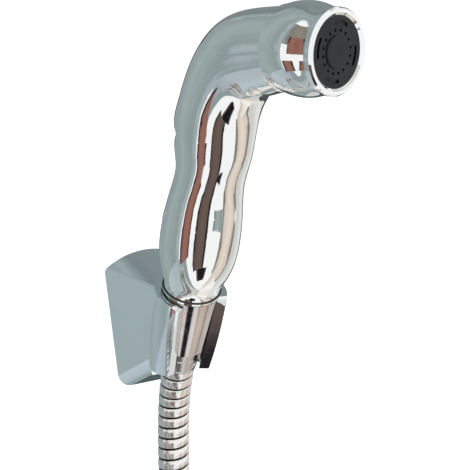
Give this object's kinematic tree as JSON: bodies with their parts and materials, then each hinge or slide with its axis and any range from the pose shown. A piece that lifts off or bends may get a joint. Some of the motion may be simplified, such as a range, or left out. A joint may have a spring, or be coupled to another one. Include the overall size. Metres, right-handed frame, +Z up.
{
  "type": "handheld bidet shower",
  "caption": "Chromed handheld bidet shower with a thumb lever and a black spray face, parked in its wall bracket, with a strip-wound hose.",
  "frame": {"origin": "centre of the bracket's back face, on the wall", "axes": "+Z up, +Y into the wall, so the front looks towards -Y; +X to the right seen from the front"},
  "size_m": [0.1967, 0.1358, 0.3809],
  "materials": {
    "chrome": "polished",
    "chrome_bracket": "polished",
    "hose_steel": "strip-wound",
    "steel": "satin",
    "brass": "turned",
    "black_plastic": "satin",
    "white_plastic": "satin",
    "rubber": "matt"
  },
  "bodies": {
    "fixed": {"wall_bracket": "chrome_bracket", "handle_body": "chrome", "lever_pin": "steel", "seat_ring": "chrome", "conical_nut": "chrome", "head_collar": "chrome", "spray_plate": "black_plastic", "centre_cap": "black_plastic", "flow_disc": "white_plastic", "plate_seal": "rubber", "inlet_spigot": "brass", "nut_washer": "rubber", "valve_bonnet": "brass", "stem_seal": "rubber", "valve_seat": "brass", "hose_ferrule": "steel", "hose": "hose_steel", "hose_coil": "hose_steel", "hose_tail": "hose_steel", "coil_tie": "black_plastic", "end_ferrule": "steel"},
    "lever": {"lever": "chrome"},
    "valve": {"valve_stem": "steel", "valve_disc": "rubber", "valve_spring": "steel"},
    "end_nut": {"end_nut": "chrome", "end_washer": "rubber"}
  },
  "joints": [
    {"name": "lever_hinge", "type": "hinge", "parent": "fixed", "child": "lever", "pos_m": [-0.0026, -0.05262, 0.06825], "axis": [0.9397, 0.3234, 0.1114], "range_deg": [0, 5], "stiffness_Nm_per_rad": 0.5, "springref_deg": -5.73},
    {"name": "valve_slide", "type": "slide", "parent": "fixed", "child": "valve", "axis": [0.342, -0.8885, -0.3059], "range_m": [0, 0.0016]},
    {"name": "end_nut_turn", "type": "hinge", "parent": "fixed", "child": "end_nut", "pos_m": [0, -0.056, -0.2261], "axis": [0, 0, 1], "continuous": true}
  ],
  "couplings": [
    {"joint": "valve_slide", "follows": "lever_hinge", "m_per_rad": 0.018}
  ]
}
